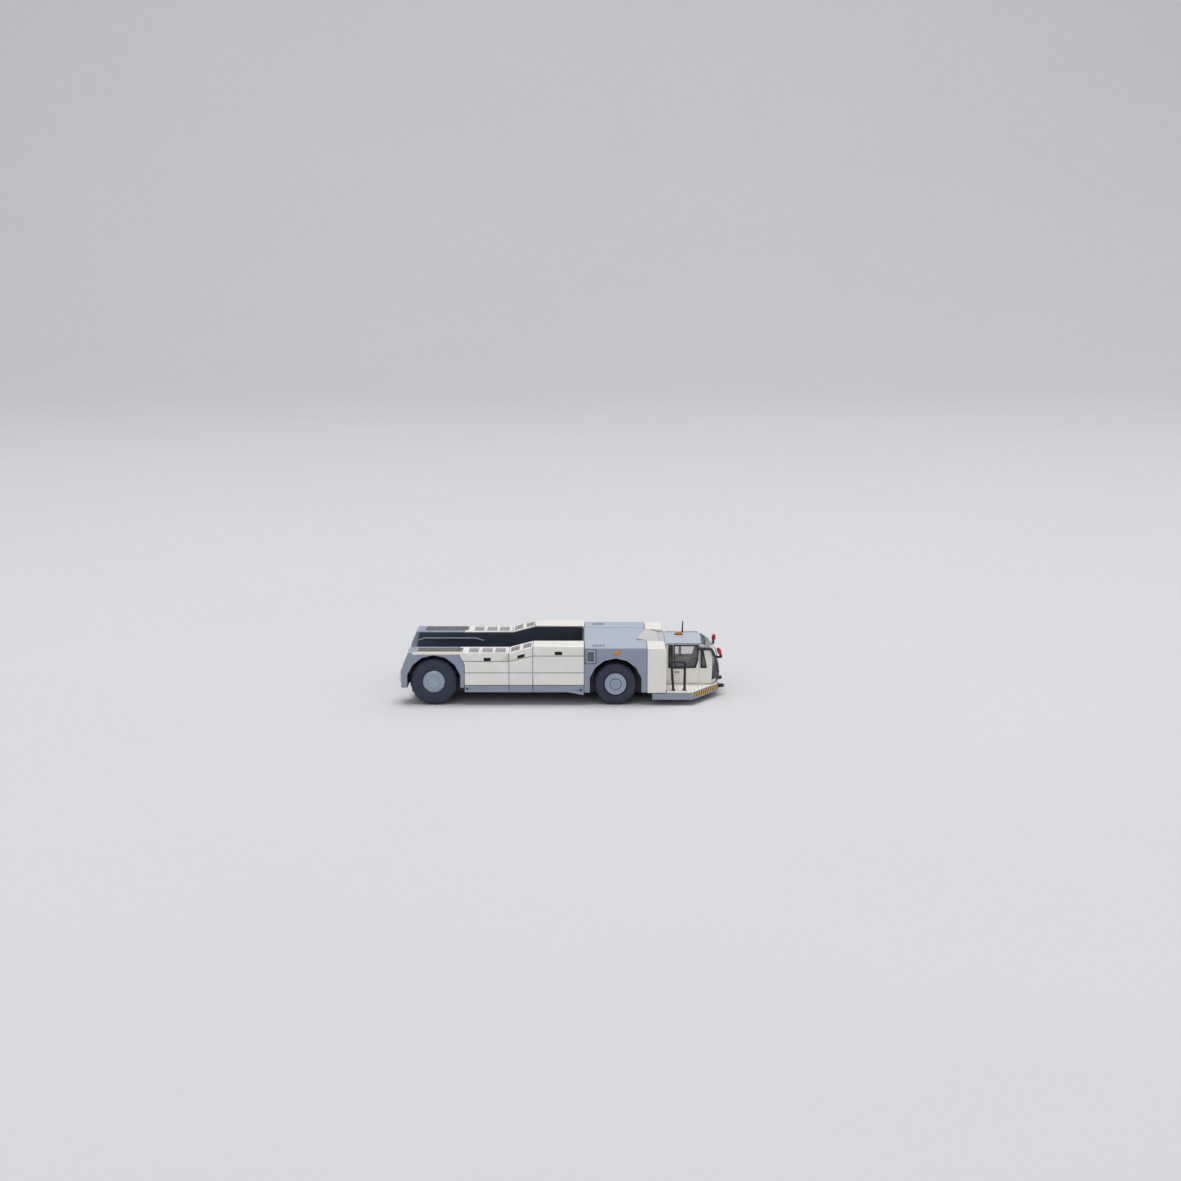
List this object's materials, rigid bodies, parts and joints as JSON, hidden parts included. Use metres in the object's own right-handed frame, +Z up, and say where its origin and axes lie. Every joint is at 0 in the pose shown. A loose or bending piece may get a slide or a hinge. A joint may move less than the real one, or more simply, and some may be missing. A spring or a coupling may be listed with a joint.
{
  "type": "scale model of an aircraft pushback tractor",
  "caption": "Die-cast 1:200 scale model of a towbarless aircraft pushback tractor, with a front cab, an open nose-gear bay at the rear and rolling wheels.",
  "frame": {"origin": "on the floor under the middle of the bounding box", "axes": "+X forward to the cab, +Y to the left side, +Z up"},
  "size_m": [0.0492, 0.022, 0.0102],
  "materials": {
    "white_paint": "satin gloss enamel",
    "grey_paint": "satin blue-grey enamel",
    "black_paint": "matt black enamel",
    "black_metal": "satin black",
    "rail_grey": "satin light grey",
    "roof_grey": "satin light grey enamel",
    "rubber": "matt",
    "rim_paint": "satin grey-blue",
    "axle_steel": "drawn wire",
    "clear_plastic": "clear glazing",
    "tinted_plastic": "dark glazing",
    "seat_plastic": "matt",
    "dark_plastic": "matt",
    "amber_plastic": "glossy",
    "red_plastic": "satin"
  },
  "bodies": {
    "tractor": {"bay_floor": "black_paint", "bay_front_wall": "black_paint", "bay_liner_left": "black_paint", "bay_liner_right": "black_paint", "bay_rail_left": "rail_grey", "bay_rail_right": "rail_grey", "cab_back": "white_paint", "cab_cowl": "white_paint", "cab_flank_left": "white_paint", "cab_flank_right": "white_paint", "cab_floor": "dark_plastic", "cab_front_panel": "white_paint", "cab_roof": "roof_grey", "cab_side_left": "white_paint", "cab_side_right": "white_paint", "cab_step_left": "white_paint", "cab_step_right": "white_paint", "chassis_plate": "black_paint", "cradle_gate_left": "dark_plastic", "cradle_gate_right": "dark_plastic", "driver_console": "dark_plastic", "driver_seat": "seat_plastic", "engine_deck": "grey_paint", "flank_left": "white_paint", "flank_right": "white_paint", "front_fender_left": "grey_paint", "front_fender_right": "grey_paint", "front_platform": "grey_paint", "mirror_arm_left": "black_metal", "mirror_arm_right": "black_metal", "mirror_left": "red_plastic", "mirror_right": "red_plastic", "nose_gear_cradle": "dark_plastic", "rear_fender_left": "grey_paint", "rear_fender_right": "grey_paint", "rear_glass": "clear_plastic", "roof_antenna": "black_metal", "roof_beacon": "amber_plastic", "side_glass_left": "clear_plastic", "side_glass_right": "clear_plastic", "sill_left": "grey_paint", "sill_right": "grey_paint", "steering_wheel": "dark_plastic", "step_rail_left": "black_metal", "step_rail_right": "black_metal", "stub_axle_left": "axle_steel", "stub_axle_right": "axle_steel", "tow_hook_left": "black_metal", "tow_hook_right": "black_metal", "windscreen": "tinted_plastic"},
    "rear_wheel_right": {"rear_tyre_right": "rubber", "rear_rim_right": "rim_paint"},
    "rear_wheel_left": {"rear_tyre_left": "rubber", "rear_rim_left": "rim_paint"},
    "front_axle": {"front_axle_shaft": "axle_steel", "front_tyre_right": "rubber", "front_rim_right": "rim_paint", "front_tyre_left": "rubber", "front_rim_left": "rim_paint"}
  },
  "joints": [
    {"name": "front_axle_roll", "type": "hinge", "parent": "tractor", "child": "front_axle", "pos_m": [0.00775, 0, 0.00325], "axis": [0, 1, 0], "continuous": true},
    {"name": "rear_wheel_right_roll", "type": "hinge", "parent": "tractor", "child": "rear_wheel_right", "pos_m": [-0.01965, -0.00915, 0.0036], "axis": [0, 1, 0], "continuous": true},
    {"name": "rear_wheel_left_roll", "type": "hinge", "parent": "tractor", "child": "rear_wheel_left", "pos_m": [-0.01965, 0.00915, 0.0036], "axis": [0, 1, 0], "continuous": true}
  ]
}
